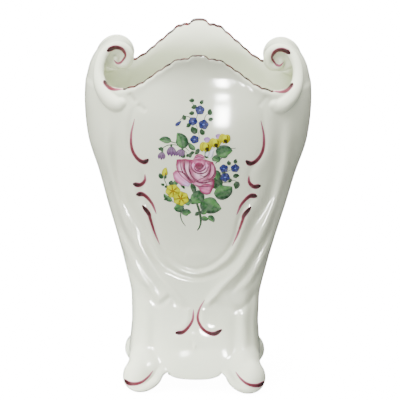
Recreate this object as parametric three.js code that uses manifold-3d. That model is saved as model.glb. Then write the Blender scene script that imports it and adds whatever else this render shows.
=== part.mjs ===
// A footed rococo vase in glazed ceramic, in millimetres, +Z up, the front facing -Y.
// The origin is the middle of the footprint, on the surface that the four feet stand on.
// The pieces are those a potter lutes together before firing: the thrown-in-one body casting,
// two rim scrolls and four feet.
import * as THREE from "three";
import { mergeVertices } from "three/addons/utils/BufferGeometryUtils.js";
import Module from "manifold-3d";

const wasm = await Module();
wasm.setup();

// ---- Driving dimensions ----

const WALL = 5; // thickness of the cast wall
const FLOOR_TOP = 27; // inside floor, above the ground
const RECESS_TOP = 21.5; // underside of the floor, above the ground
const RECESS_INSET = 9; // width of the skirt ring round the recess
const FOOT_CORNER = { minX: 23, minY: 13, height: 22 }; // the foot fills this corner under the body
const GAP = 0.3; // clearance that stands for the luted joint between two pieces
const CREST_Z = 280; // top of the rim's middle lobe
const SCALLOP = { depth: 0.8, pitch: 7 }; // small lobes along the rim's edge
const RING_SEGMENTS = 60;
const RING_COUNT = 24;
const SLIVER = 0.03; // edges finer than this are smoothed away after the boolean steps

// Half-width, half-depth and height of the body's outer skin, from the skirt to above the rim.
const BODY_STATIONS = [
  [51.3, 36.5, 5],
  [51, 36, 17],
  [51.8, 34.5, 27],
  [51, 32.5, 37],
  [50.1, 31, 50],
  [50.3, 30.5, 63],
  [51, 31, 76],
  [55.2, 33.5, 95],
  [62, 37.5, 121],
  [69.8, 42.3, 147],
  [77, 47.2, 173],
  [85.2, 51.7, 199],
  [88.2, 53.7, 226],
  [87.4, 52.4, 245],
  [85.2, 51.5, 256],
  [83.2, 52.4, 264],
  [81.8, 55.4, 272],
  [80.8, 60, 279],
  [79.6, 68, 288],
];

// The sections are superellipses, squarer at the feet than at the mouth.
const SQUARE_LOW = 4;
const SQUARE_HIGH = 2.35;
const SQUARE_LOW_Z = 50;
const SQUARE_HIGH_Z = 190;

// The four corners swell into legs towards the feet.
const LEG = { swell: 0.035, fullZ: 30, goneZ: 95 };

// Moulded ridges that stand off the front and the back, from the middle or the left outwards.
// Each is seen from the front: distance from the middle and height.
const RIDGE_RADIUS = 3;
const RIDGE_PROUD = 1.5;
const FRAME_RIDGE = [
  [50, 232],
  [50.5, 215],
  [48.5, 192],
  [44, 165],
  [38.5, 137],
  [32, 115],
  [22, 101],
  [10, 94.5],
  [0, 93],
];
const SIDE_RIDGES = [
  [
    [71, 230],
    [71.5, 207],
    [69, 184],
    [64.5, 161],
    [58.5, 139],
    [51.5, 120],
    [43, 104],
    [34.5, 92],
    [26, 83],
  ],
  [
    [62, 170],
    [58, 153],
    [53, 139],
    [47.5, 125],
    [39.5, 110],
    [31.5, 97],
    [21, 83.5],
    [13, 73],
    [6, 64],
  ],
  [
    [60, 128],
    [56, 115],
    [49, 98.5],
    [43, 86],
    [34, 76],
    [24, 71],
  ],
];

// Half of the rim's edge, seen from the front: distance from the middle and height.
const RIM_EDGE = [
  [0, CREST_Z],
  [5, 279.4],
  [8.5, 276.9],
  [13, 276.6],
  [18, 274.8],
  [24, 270],
  [33, 263],
  [42, 255.6],
  [51, 250.8],
  [60, 247.8],
  [70, 247.8],
];

// Half of the skirt's lower edge, seen from the front.
const SKIRT_EDGE = [
  [0, 9.6],
  [12, 9.6],
  [17, 10.2],
  [23, 13.8],
  [27, 15.5],
  [60, 15.5],
];

// Middle of the scroll's strap, seen from the front, with its half-depth from front to back.
const SCROLL_STATIONS = [
  { x: 85.5, z: 220, halfDepth: 39 },
  { x: 85.1, z: 240, halfDepth: 32 },
  { x: 83.8, z: 250, halfDepth: 25 },
  { x: 81, z: 259.5, halfDepth: 19 },
  { x: 75.8, z: 267.7, halfDepth: 14.5 },
  { x: 69, z: 273.2, halfDepth: 11.8 },
  { x: 61.8, z: 274.6, halfDepth: 10.8 },
  { x: 56.4, z: 271.9, halfDepth: 10.2 },
  { x: 53.4, z: 266.9, halfDepth: 9.8 },
  { x: 53.7, z: 261.4, halfDepth: 9.6 },
  { x: 57, z: 257.9, halfDepth: 9.4 },
  { x: 61.3, z: 257.7, halfDepth: 9.2 },
];
const STRAP_THICKNESS = 5;
const STRAP_SAG = 0.0125; // how far the strap's edges curve in, per square millimetre of depth
const SCROLL_EYE = { x: 64, z: 265.5, radius: 11.6, halfDepth: 8.6, rounding: 1.6 };
const SCROLL_BLOCK = { minX: 49.5, minZ: 226 }; // the scroll piece is what lies outside this corner

// Rounded band along the scroll's front edge, from under the rim's corner to the inner curl.
const SCROLL_BAND = [
  { x: 57.5, y: -41.5, z: 237, radius: 4.5 },
  { x: 60, y: -40, z: 235.3, radius: 5.8 },
  { x: 64, y: -37.5, z: 236, radius: 6.8 },
  { x: 69, y: -33.5, z: 239.5, radius: 6.6 },
  { x: 73.5, y: -29.5, z: 244.5, radius: 5.6 },
  { x: 76.3, y: -25, z: 250.5, radius: 4.6 },
  { x: 76.8, y: -20.5, z: 257.5, radius: 4.1 },
  { x: 75.2, y: -16.5, z: 264.5, radius: 3.9 },
  { x: 71.6, y: -13, z: 270.3, radius: 3.7 },
  { x: 66.6, y: -11.3, z: 273.6, radius: 3.5 },
  { x: 61.4, y: -10.4, z: 273.9, radius: 3.4 },
  { x: 56.8, y: -9.9, z: 271.4, radius: 3.3 },
  { x: 54.2, y: -9.6, z: 266.8, radius: 3.1 },
  { x: 54.5, y: -9.4, z: 261.8, radius: 2.9 },
  { x: 57.4, y: -9.2, z: 258.7, radius: 2.7 },
  { x: 61.2, y: -9, z: 258.3, radius: 2.5 },
  { x: 64, y: -9, z: 260.6, radius: 2.3 },
  { x: 64, y: -9, z: 263.6, radius: 2.2 },
];
const BAND_CAVITY_TOP = 243; // below this height the band doesn't thicken the wall inwards

// Foot: the hull of a rounded toe and two knees under the leg, with a band along its lower edge.
const FOOT_BALLS = [
  { x: 44.8, y: 33, z: 12.4, radiusX: 11.4, radiusY: 9.3, radiusZ: 13.2 },
  { x: 40.5, y: 25, z: 24, radiusX: 11, radiusY: 10.5, radiusZ: 10 },
  { x: 34, y: 28.5, z: 18, radiusX: 8, radiusY: 8.4, radiusZ: 11 },
];
const FOOT_BAND = [
  { x: 26.6, y: 34.5, z: 15.5, radius: 3 },
  { x: 30.3, y: 36.5, z: 9.2, radius: 3.4 },
  { x: 37, y: 38.3, z: 5.2, radius: 3.8 },
  { x: 43.8, y: 38.3, z: 4.2, radius: 4 },
  { x: 49, y: 35.8, z: 6, radius: 4.1 },
  { x: 51.7, y: 33, z: 10.6, radius: 3.9 },
  { x: 51.2, y: 30, z: 16.5, radius: 3.2 },
];

const glaze = () =>
  new THREE.MeshStandardMaterial({ color: 0xe6e6dc, roughness: 0.12, metalness: 0 });

// ---- Solids ----

// A closed three.js geometry as a manifold-3d solid, its faces turned outwards if need be.
function solidOf(geometry) {
  const bare = geometry.clone();
  bare.deleteAttribute("normal");
  bare.deleteAttribute("uv");
  const merged = mergeVertices(bare, 1e-4);
  const vertProperties = new Float32Array(merged.attributes.position.array);
  const triVerts = new Uint32Array(merged.index.array);
  const build = () => new wasm.Manifold(new wasm.Mesh({ numProp: 3, vertProperties, triVerts }));
  const solid = build();
  if (solid.volume() > 0) return solid;
  triVerts.reverse();
  return build();
}

// A manifold-3d solid as a three.js geometry.
function geometryOf(solid) {
  const { vertProperties, triVerts } = solid.getMesh();
  const geometry = new THREE.BufferGeometry();
  geometry.setAttribute("position", new THREE.BufferAttribute(vertProperties, 3));
  geometry.setIndex(new THREE.BufferAttribute(triVerts, 1));
  geometry.computeVertexNormals();
  return geometry;
}

// Joins rings of points, each with the same count, into one closed body with flat ends.
function loft(rings) {
  const count = rings[0].length;
  const positions = rings.flat().flatMap((point) => point.toArray());
  const triangles = [];
  for (let r = 0; r + 1 < rings.length; r++) {
    for (let i = 0; i < count; i++) {
      const a = r * count + i;
      const b = r * count + ((i + 1) % count);
      triangles.push(a, b, b + count, a, b + count, a + count);
    }
  }
  const last = (rings.length - 1) * count;
  for (const [start, flip] of [[0, true], [last, false]]) {
    const middle = new THREE.Vector3();
    for (let i = 0; i < count; i++) middle.add(rings[start / count][i]);
    middle.divideScalar(count);
    const centre = positions.length / 3;
    positions.push(...middle.toArray());
    for (let i = 0; i < count; i++) {
      const a = start + i;
      const b = start + ((i + 1) % count);
      triangles.push(...(flip ? [centre, b, a] : [centre, a, b]));
    }
  }
  const geometry = new THREE.BufferGeometry();
  geometry.setAttribute("position", new THREE.Float32BufferAttribute(positions, 3));
  geometry.setIndex(triangles);
  return solidOf(geometry);
}

function mirrorX(solid) {
  return solid.mirror([1, 0, 0]);
}

function mirrorY(solid) {
  return solid.mirror([0, 1, 0]);
}

function squareness(z) {
  const share = THREE.MathUtils.smoothstep(z, SQUARE_LOW_Z, SQUARE_HIGH_Z);
  return THREE.MathUtils.lerp(SQUARE_LOW, SQUARE_HIGH, share);
}

// One superellipse ring round the vertical axis, swollen at the corners where the legs are.
function superellipse(halfWidth, halfDepth, z) {
  const power = 2 / squareness(z);
  const swell = LEG.swell * (1 - THREE.MathUtils.smoothstep(z, LEG.fullZ, LEG.goneZ));
  const ring = [];
  for (let i = 0; i < RING_SEGMENTS; i++) {
    const angle = (2 * Math.PI * i) / RING_SEGMENTS;
    const c = Math.cos(angle);
    const s = Math.sin(angle);
    const out = 1 + swell * Math.abs(2 * s * c) ** 4;
    const x = out * halfWidth * Math.sign(c) * Math.abs(c) ** power;
    const y = out * halfDepth * Math.sign(s) * Math.abs(s) ** power;
    ring.push(new THREE.Vector3(x, y, z));
  }
  return ring;
}

const bodyCurve = new THREE.CatmullRomCurve3(
  BODY_STATIONS.map(([w, d, z]) => new THREE.Vector3(w, d, z)),
);

// The body's outer form, drawn in by inset, from a lowest height to the top station.
function bodyForm(inset, lowest) {
  const rings = [];
  for (let i = 0; i <= RING_COUNT; i++) {
    const { x: w, y: d, z } = bodyCurve.getPoint(i / RING_COUNT);
    if (z <= lowest) continue;
    if (!rings.length) rings.push(superellipse(w - inset, d - inset, lowest));
    rings.push(superellipse(w - inset, d - inset, z));
  }
  return loft(rings);
}

// A flat outline in X and Z, pulled through the whole depth from front to back.
function throughDepth(points, halfDepth) {
  const shape = new THREE.Shape(points.map(([x, z]) => new THREE.Vector2(x, z)));
  const geometry = new THREE.ExtrudeGeometry(shape, {
    depth: 2 * halfDepth,
    bevelEnabled: false,
    steps: 1,
  });
  geometry.rotateX(Math.PI / 2);
  geometry.translate(0, halfDepth, 0);
  return solidOf(geometry);
}

// Both halves of a mirrored edge as a smooth line from -X to +X.
function mirroredEdge(half, count) {
  const right = half.map(([x, z]) => new THREE.Vector2(x, z));
  const left = half.slice(1).reverse().map(([x, z]) => new THREE.Vector2(-x, z));
  const curve = new THREE.SplineCurve([...left, ...right]);
  return curve.getPoints(count).map((point) => point.toArray());
}

// Small lobes on the rim between its middle lobe and the scrolls.
function scalloped([x, z]) {
  const inRange = Math.abs(x) > SCALLOP.pitch && Math.abs(x) < 8 * SCALLOP.pitch;
  const lobe = Math.abs(Math.sin((Math.PI * x) / SCALLOP.pitch));
  return [x, inRange ? z - SCALLOP.depth * (1 - lobe) : z];
}

function block(size, centre) {
  const geometry = new THREE.BoxGeometry(...size);
  geometry.translate(...centre);
  return solidOf(geometry);
}

function ellipsoid({ x, y = 0, z, radiusX, radiusY, radiusZ }, around = 16, down = 10) {
  const geometry = new THREE.SphereGeometry(1, around, down);
  geometry.scale(radiusX, radiusY, radiusZ);
  geometry.translate(x, y, z);
  return solidOf(geometry);
}

// A round bar along a smooth line through the points.
function bar(points, radius, steps) {
  const curve = new THREE.CatmullRomCurve3(points.map((point) => new THREE.Vector3(...point)));
  const outline = new THREE.Shape();
  outline.absarc(0, 0, radius, 0, 2 * Math.PI);
  const geometry = new THREE.ExtrudeGeometry(outline, {
    steps,
    curveSegments: 4,
    extrudePath: curve,
    bevelEnabled: false,
  });
  return solidOf(geometry);
}

// A tapering round bar through stations that each have a radius.
function band(stations) {
  const balls = stations.map(({ x, y, z, radius }) =>
    ellipsoid({ x, y, z, radiusX: radius, radiusY: radius, radiusZ: radius }, 12, 8),
  );
  const links = balls.slice(1).map((ball, i) => wasm.Manifold.hull([balls[i], ball]));
  return links.reduce((whole, link) => whole.add(link));
}

// ---- Body casting ----

const FAR = 200; // larger than half of any dimension of the vase

// The point of the body's front skin at x and z, moved in by sink, square to the plan's outline.
function frontPoint([x, z], sink) {
  let low = 0;
  let high = 1;
  for (let i = 0; i < 30; i++) {
    const middle = (low + high) / 2;
    if (bodyCurve.getPoint(middle).z < z) low = middle;
    else high = middle;
  }
  const { x: halfWidth, y: halfDepth } = bodyCurve.getPoint(low);
  const power = squareness(z);
  const across = Math.min(1, Math.abs(x) / halfWidth);
  const along = (1 - across ** power) ** (1 / power);
  const normal = new THREE.Vector2(
    (Math.sign(x) * across ** (power - 1)) / halfWidth,
    -(along ** (power - 1)) / halfDepth,
  ).normalize();
  return [x - sink * normal.x, -halfDepth * along - sink * normal.y, z];
}

// A moulded ridge whose ends named in buried sink under the skin.
function ridge(line, buried) {
  const points = line.map((point, i) =>
    frontPoint(point, buried.includes(i) ? RIDGE_RADIUS + 0.8 : RIDGE_RADIUS - RIDGE_PROUD),
  );
  return bar(points, RIDGE_RADIUS, 18);
}

function frontRidges() {
  const mirrored = FRAME_RIDGE.slice(0, -1).map(([x, z]) => [-x, z]);
  const frame = [...FRAME_RIDGE, ...mirrored.reverse()];
  const right = SIDE_RIDGES.map((line) => ridge(line, [0, line.length - 1]));
  return [ridge(frame, [0, frame.length - 1]), ...right, ...right.map(mirrorX)];
}

// The block under the body that one foot fills, its inner sides moved out by grow.
function footCorner(grow) {
  const { minX, minY, height } = FOOT_CORNER;
  const centre = [minX - grow + FAR / 2, minY - grow + FAR / 2, height + grow - FAR / 2];
  return block([FAR, FAR, FAR], centre);
}

function bodySolid() {
  let outside = bodyForm(0, BODY_STATIONS[0][2]);
  for (const moulding of frontRidges()) outside = outside.add(moulding).add(mirrorY(moulding));
  const cavity = bodyForm(WALL, FLOOR_TOP);
  const recess = bodyForm(RECESS_INSET, BODY_STATIONS[0][2]).intersect(
    block([FAR, FAR, RECESS_TOP], [0, 0, RECESS_TOP / 2]),
  );
  const rim = mirroredEdge(RIM_EDGE, 96).map(scalloped);
  const rimEnd = RIM_EDGE[RIM_EDGE.length - 1];
  const aboveRim = throughDepth(
    [[-FAR, rimEnd[1]], ...rim, [FAR, rimEnd[1]], [FAR, 2 * FAR], [-FAR, 2 * FAR]],
    FAR,
  );
  const skirt = mirroredEdge(SKIRT_EDGE, 24);
  const skirtEnd = SKIRT_EDGE[SKIRT_EDGE.length - 1];
  const belowSkirt = throughDepth(
    [[-FAR, -FAR], [FAR, -FAR], [FAR, skirtEnd[1]], ...skirt.reverse(), [-FAR, skirtEnd[1]]],
    FAR,
  );
  const corners = [footCorner(GAP), mirrorX(footCorner(GAP))].flatMap((c) => [c, mirrorY(c)]);
  const cuts = [cavity, recess, aboveRim, belowSkirt, ...corners];
  return cuts.reduce((whole, cut) => whole.subtract(cut), outside);
}

// ---- Rim scrolls ----

function strapRing(middle, tangent, halfDepth) {
  const half = STRAP_THICKNESS / 2;
  const outward = new THREE.Vector3(tangent.z, 0, -tangent.x);
  const steps = 8;
  const ring = [];
  for (const side of [1, -1]) {
    for (let i = 0; i <= steps; i++) {
      const y = side * halfDepth * (1 - (2 * i) / steps);
      const sag = STRAP_SAG * y * y;
      const point = middle.clone().addScaledVector(outward, side * half);
      ring.push(point.add(new THREE.Vector3(-sag, y, 0)));
    }
  }
  return ring;
}

function strap() {
  const curve = new THREE.CatmullRomCurve3(
    SCROLL_STATIONS.map(({ x, z }) => new THREE.Vector3(x, 0, z)),
  );
  const depths = new THREE.CatmullRomCurve3(
    SCROLL_STATIONS.map(({ halfDepth }) => new THREE.Vector3(halfDepth, 0, 0)),
  );
  const rings = [];
  const count = 28;
  for (let i = 0; i <= count; i++) {
    const t = i / count;
    rings.push(strapRing(curve.getPoint(t), curve.getTangent(t), depths.getPoint(t).x));
  }
  return loft(rings);
}

function scrollBlock(grow) {
  const { minX, minZ } = SCROLL_BLOCK;
  const centre = [minX - grow + FAR / 2, 0, minZ - grow + FAR / 2];
  return block([FAR, 2 * FAR, FAR], centre);
}

// The roll's core: a disc lying across the depth, its edges rounded.
function scrollEye() {
  const { x, z, radius, halfDepth, rounding } = SCROLL_EYE;
  const profile = [
    [0, -halfDepth],
    [radius - 2 * rounding, -halfDepth],
    [radius - rounding, -halfDepth + 0.5 * rounding],
    [radius, -halfDepth + 2 * rounding],
    [radius, halfDepth - 2 * rounding],
    [radius - rounding, halfDepth - 0.5 * rounding],
    [radius - 2 * rounding, halfDepth],
    [0, halfDepth],
  ];
  const geometry = new THREE.LatheGeometry(profile.map((point) => new THREE.Vector2(...point)), 24);
  geometry.translate(x, 0, z);
  return solidOf(geometry);
}

function scrollSolid(body) {
  const inside = bodyForm(WALL, FLOOR_TOP).trimByPlane([0, 0, -1], -BAND_CAVITY_TOP);
  const front = band(SCROLL_BAND).subtract(inside);
  const pieces = [strap(), scrollEye(), front, mirrorY(front)];
  return pieces.reduce((whole, piece) => whole.add(piece), body).intersect(scrollBlock(0));
}

// ---- Feet ----

function footSolid() {
  const hull = wasm.Manifold.hull(FOOT_BALLS.map((ball) => ellipsoid(ball)));
  return hull.add(band(FOOT_BAND)).intersect(footCorner(0)).trimByPlane([0, 0, 1], 0);
}

// ---- Assembly ----

const vase = new THREE.Group();

function addPiece(name, solid) {
  const mesh = new THREE.Mesh(geometryOf(solid), glaze());
  mesh.name = name;
  vase.add(mesh);
}

const wholeBody = bodySolid();
const rightScroll = scrollSolid(wholeBody).simplify(SLIVER);
const rightRearFoot = footSolid().simplify(SLIVER);

const body = wholeBody.subtract(scrollBlock(GAP)).subtract(mirrorX(scrollBlock(GAP)));

addPiece("body", body.simplify(SLIVER));
addPiece("scroll_right", rightScroll);
addPiece("scroll_left", mirrorX(rightScroll));
addPiece("foot_rear_right", rightRearFoot);
addPiece("foot_rear_left", mirrorX(rightRearFoot));
addPiece("foot_front_right", mirrorY(rightRearFoot));
addPiece("foot_front_left", mirrorX(mirrorY(rightRearFoot)));

export default vase;
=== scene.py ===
import math

import bpy
import numpy as np
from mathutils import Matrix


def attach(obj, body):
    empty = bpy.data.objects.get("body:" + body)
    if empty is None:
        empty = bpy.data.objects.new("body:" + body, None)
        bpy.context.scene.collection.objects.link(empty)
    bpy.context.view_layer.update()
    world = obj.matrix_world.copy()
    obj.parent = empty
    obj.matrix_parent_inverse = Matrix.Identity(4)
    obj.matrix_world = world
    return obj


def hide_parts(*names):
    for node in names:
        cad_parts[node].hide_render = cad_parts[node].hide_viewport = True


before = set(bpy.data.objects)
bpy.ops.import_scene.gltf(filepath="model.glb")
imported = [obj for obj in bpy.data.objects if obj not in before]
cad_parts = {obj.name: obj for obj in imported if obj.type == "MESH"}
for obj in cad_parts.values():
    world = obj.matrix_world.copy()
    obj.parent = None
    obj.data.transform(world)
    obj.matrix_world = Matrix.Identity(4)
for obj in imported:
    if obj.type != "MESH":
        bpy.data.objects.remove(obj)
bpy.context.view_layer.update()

import openvdb
from mathutils import Matrix, Vector

MM = 0.001
PHOTO_PX = 400

# -------- form of the vase, in millimetres
# The form is one implicit function, positive outside. Front and back are alike.

WALL = 5.0
FLOOR_TOP = 27.0
RECESS_TOP = 21.5
RECESS_INSET = 9.0
LIP, LIP_FALL, LIP_ENDS = 1.2, 5.5, (50, 62)  # how far the rim turns out, the drop it fades over, its ends
LOBE_PITCH, LOBE_DEPTH = 7, 0.8
ROUND = {"rim": 4, "mouth": 3, "floor": 8, "skirt": 2.5, "recess": 2, "strap": 2.5, "foot": 4, "scroll": 1.2,
         "ground": 1}
RIM_SLOPE = 0.85  # share of the height over the rim that counts as distance, because the rim slants
RELIEF_EDGE = (0.2, 0.5)  # how far round to the front the relief starts, and where it is full
FEET_BELOW, FEET_BEYOND = 40, 14
SCROLLS_ABOVE, SCROLLS_BEYOND = 208, 38

BODY_STATIONS = np.array([
    (51.3, 36.5, 5), (51, 36, 17), (51.8, 34.5, 27), (51, 32.5, 37), (50.1, 31, 50), (50.3, 30.5, 63),
    (51, 31, 76), (55.2, 33.5, 95), (62, 37.5, 121), (69.8, 42.3, 147), (77, 47.2, 173),
    (85.2, 51.7, 199), (88.2, 53.7, 226), (87.4, 52.4, 245), (85.2, 51.5, 256), (83.2, 52.4, 264),
    (81.8, 55.4, 272), (80.8, 60, 279), (79.6, 68, 288),
], float)
RIM_EDGE = np.array([
    (0, 280), (5, 279.4), (8.5, 276.9), (13, 276.6), (18, 274.8), (24, 270), (33, 263),
    (42, 255.6), (51, 250.8), (60, 247.8), (70, 247.8), (100, 247.8),
], float)
SKIRT_EDGE = np.array([
    (0, 9.2), (6, 9.4), (11, 10), (15, 11), (18.5, 12.4), (21.5, 14), (24.5, 15.5), (100, 15.5),
], float)

# Scroll strap: x and z of its middle, and its half-depth from front to back.
STRAP = np.array([
    (84.4, 216, 39), (85.1, 240, 32), (83.8, 250, 25), (81, 259.5, 19), (75.8, 267.7, 14.5),
    (69, 273.2, 11.8), (61.8, 274.6, 10.8), (56.4, 271.9, 10.2), (53.4, 266.9, 9.8),
    (53.7, 261.4, 9.6), (57, 257.9, 9.4), (61.3, 257.7, 9.2),
], float)
STRAP_THICKNESS = 5.0
STRAP_SAG = 0.0125

# Rounded bands: x, y, z and radius.
SCROLL_BAND = np.array([
    (57.5, 41.5, 237, 4.5), (60, 40, 235.3, 5.8), (64, 37.5, 236, 6.8), (69, 33.5, 239.5, 6.6),
    (73.5, 29.5, 244.5, 5.6), (76.3, 25, 250.5, 4.6), (76.8, 20.5, 257.5, 4.1), (75.2, 16.5, 264.5, 3.9),
    (71.6, 13, 270.3, 3.7), (66.6, 11.3, 273.6, 3.5), (61.4, 10.4, 273.9, 3.4), (56.8, 9.9, 271.4, 3.3),
    (54.2, 9.6, 266.8, 3.1), (54.5, 9.4, 261.8, 2.9), (57.4, 9.2, 258.7, 2.7), (61.2, 9, 258.3, 2.5),
    (64, 9, 260.6, 2.3), (64, 9, 263.6, 2.2),
], float)
FOOT_BAND = np.array([
    (26.6, 34.5, 15.5, 3), (30.3, 36.5, 9.2, 3.4), (37, 38.3, 5.2, 3.8), (43.8, 38.3, 4.2, 4),
    (49, 35.8, 6, 4.1), (51.7, 33, 10.6, 3.9), (51.2, 30, 16.5, 3.2),
], float)
FOOT_BALLS = [
    ((44.8, 33, 12.4), (11.4, 9.3, 13.2)),
    ((40.5, 25, 24), (11, 10.5, 10)),
    ((34, 28.5, 18), (8, 8.4, 11)),
]
CORE = (64, 265.5, 11.6, 8.6)  # x and z of the roll's core, its radius and its half-depth
BAND_IN_WALL_BELOW = 243

# Moulded relief of the front and the back, as seen from the front. Each row has the height (a groove's is
# below 0), the half-width at the start and at the end, the side (0 is both, 1 is +x), the fade at the start
# and at the end as a share of the length, and the x and z of the line.
RELIEF = [
    # the panel: its groove, the moulding round it, and the low swelling at its foot
    (-0.5, 2.3, 2.3, 0, 0.15, 0.1, [
        (46, 241), (50, 229), (51.5, 214), (50.5, 202), (46, 193), (41.5, 186), (40.5, 178), (42, 170),
        (43, 163), (38, 154.5),
    ]),
    (0.6, 4.8, 3.9, 0, 0.15, 0.1, [
        (52, 240), (56, 226), (57, 212), (55.5, 200), (51.5, 191), (48, 184), (47, 178), (48.5, 170),
        (48.5, 163), (44, 155),
    ]),
    (-1.1, 2.2, 2.4, 0, 0.12, 0, [
        (41, 160), (36.3, 152), (33, 142), (31, 131), (27, 121), (20, 111), (10.7, 104), (0, 100.7),
    ]),
    (1.2, 3.5, 2.9, 0, 0.12, 0, [
        (46, 159), (40.5, 150), (37, 138), (33, 126), (27, 114), (17, 104), (7, 98), (0, 97),
    ]),
    (0.5, 4.6, 4.6, 0, 0.0, 0.3, [(0, 114), (4, 114.3), (9, 116)]),
    # wide hollow down the flank that runs in under the panel, and the roll beside it
    (-2.1, 6.2, 2.2, 0, 0.25, 0, [
        (62.5, 226), (62.5, 200), (61.5, 185), (60, 174), (57, 160), (50.4, 148), (43.2, 136), (34.8, 117),
        (27.6, 106), (13.8, 97), (4, 94), (0, 93.6),
    ]),
    (2.1, 5.8, 2.9, 0, 0.15, 0.06, [
        (68.5, 232), (69.5, 211), (68, 188), (64, 165), (58.5, 146), (51, 129), (42, 114), (33, 100.5),
        (22, 88), (13.5, 77.5), (7, 67.5),
    ]),
    (-1.5, 3.5, 2.4, 0, 0.3, 0.12, [
        (73, 190), (68, 169), (62, 148), (56, 128.5), (49, 114.5), (40.4, 99), (31.6, 86), (23, 77),
    ]),
    (1.2, 3.6, 2.9, 0, 0.25, 0.2, [(61, 132), (56.5, 120), (49.5, 104), (42, 91), (33, 81)]),
    (-0.6, 3.4, 2.3, 0, 0.3, 0.2, [(60, 118), (54.5, 104), (48, 92), (43, 83)]),
    # folded end of the drapery: a pointed fold on the left, a rolled one on the right
    (-1.3, 2.7, 2.4, -1, 0.15, 0.2, [
        (43, 90), (36, 77.3), (30, 70), (25.5, 71.5), (20, 76.3), (15.9, 72), (9.9, 65.5),
    ]),
    (0.8, 3, 2.4, -1, 0.2, 0.2, [(39, 91), (33, 81.5), (28.5, 75.5), (24, 78), (19.5, 81.5)]),
    (-1, 3.1, 2.6, 1, 0.15, 0.25, [
        (48.5, 84), (44.5, 74.5), (37.5, 68), (30, 66), (22, 70), (16, 73.5), (10.5, 68.5),
    ]),
    (0.7, 3.5, 3, 1, 0.25, 0.15, [(40, 78), (33, 72.5), (27, 74.5), (22.8, 80), (14, 77), (8, 68)]),
    # the two tails that curl apart in the middle of the foot
    (0.7, 2.8, 2.3, 0, 0.1, 0.15, [(6.5, 69), (5.4, 60), (8, 53.5), (13, 51), (17.5, 52.5)]),
    (-0.6, 2.5, 2.5, 0, 0.2, 0.15, [(2.3, 69), (2.4, 58), (6, 50.5), (11, 47.3), (18, 47.6)]),
    (-0.4, 2.8, 2.8, 0, 0.2, 0.2, [(0, 58), (0, 46)]),
    (0.9, 3.9, 3.9, 0, 0, 0.2, [(0, 37), (1.4, 37)]),
    # legs: a rounded column down each corner between two grooves, and a front that lies back between them
    (0.9, 4.4, 5.3, 0, 0.35, 0.05, [(39, 78), (38.5, 60), (38.3, 44), (38.8, 30), (40, 18)]),
    (-0.9, 3.7, 3.9, 0, 0.3, 0.2, [(31.5, 67), (31.7, 52), (32, 38), (31, 24)]),
    (-1, 3, 3.2, 0, 0.25, 0.2, [(47, 86), (44, 73), (43.4, 58), (43.9, 43), (45.5, 30)]),
    (-1.2, 12, 13, 0, 0.35, 0, [(0, 44), (0, 28), (0, 12)]),
    # dimples under the corners of the rim
    (-0.9, 2, 1.7, -1, 0.2, 0.3, [(53.5, 245.5), (50, 241.6), (46.8, 238)]),
    (-0.9, 2.2, 1.9, -1, 0.2, 0.3, [(46, 238), (42.5, 234.8), (38.5, 232.5)]),
    (-0.5, 2.1, 1.6, 1, 0.2, 0.3, [(53.5, 245), (49.5, 241), (45.5, 236)]),
]


def spline(points, per=12):
    """A Catmull-Rom line through the points, per steps to a span."""
    p = np.vstack([2 * points[0] - points[1], points, 2 * points[-1] - points[-2]])
    t = np.linspace(0, 1, per, endpoint=False)[:, None]
    out = []
    for i in range(1, len(p) - 2):
        a, b, c, d = p[i - 1:i + 3]
        square = (2 * a - 5 * b + 4 * c - d) * t**2
        cube = (3 * b - a - 3 * c + d) * t**3
        out.append(0.5 * (2 * b + (c - a) * t + square + cube))
    return np.vstack([*out, points[-1:]])


def smoothstep(x, a, b):
    t = np.clip((x - a) / (b - a), 0, 1)
    return t * t * (3 - 2 * t)


def smax(a, b, k):
    """The larger of two distances, rounded over k where they are close."""
    h = np.maximum(k - np.abs(a - b), 0) / k
    return np.maximum(a, b) + h * h * k / 4


def smin(a, b, k):
    """The smaller of two distances, rounded in the same way."""
    return -smax(-a, -b, k)


BODY_LINE = spline(BODY_STATIONS, 16)
RIM_LINE = spline(RIM_EDGE, 10)
SKIRT_LINE = spline(SKIRT_EDGE, 8)
STRAP_LINE = spline(STRAP, 8)
SCROLL_BAND_LINE = spline(SCROLL_BAND, 5)
FOOT_BAND_LINE = spline(FOOT_BAND, 5)


MAP_STEP, MAP_X, MAP_Z = 0.5, 95, 290


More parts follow.
